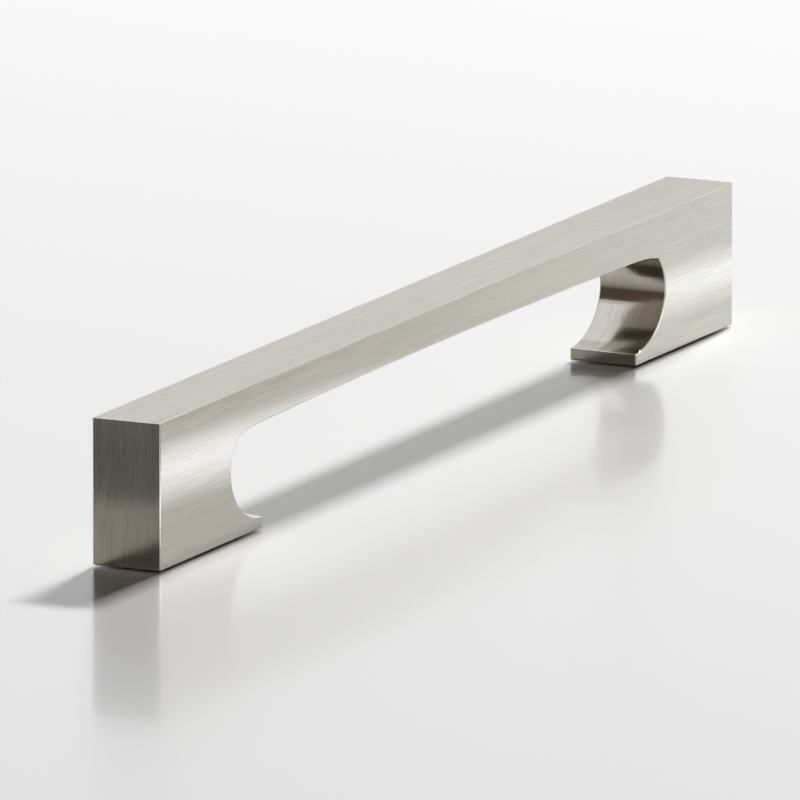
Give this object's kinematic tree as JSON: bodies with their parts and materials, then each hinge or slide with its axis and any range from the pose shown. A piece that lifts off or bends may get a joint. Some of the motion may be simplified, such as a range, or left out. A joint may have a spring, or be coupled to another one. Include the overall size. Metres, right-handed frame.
{
  "type": "cabinet pull",
  "caption": "Straight square-edged bar pull with scooped feet, brushed nickel, screwed on from behind a drawer or door front.",
  "frame": {"origin": "on the mounting plane, midway between the centres of the screw holes", "axes": "+X along the bar, +Y across it, +Z out from the drawer front towards the hand"},
  "size_m": [0.2286, 0.0126, 0.0254],
  "materials": {
    "brushed_nickel": "brushed satin nickel plating, lines along the bar, upright on the end faces"
  },
  "bodies": {
    "root": {"pull_body": "brushed_nickel"}
  },
  "joints": []
}
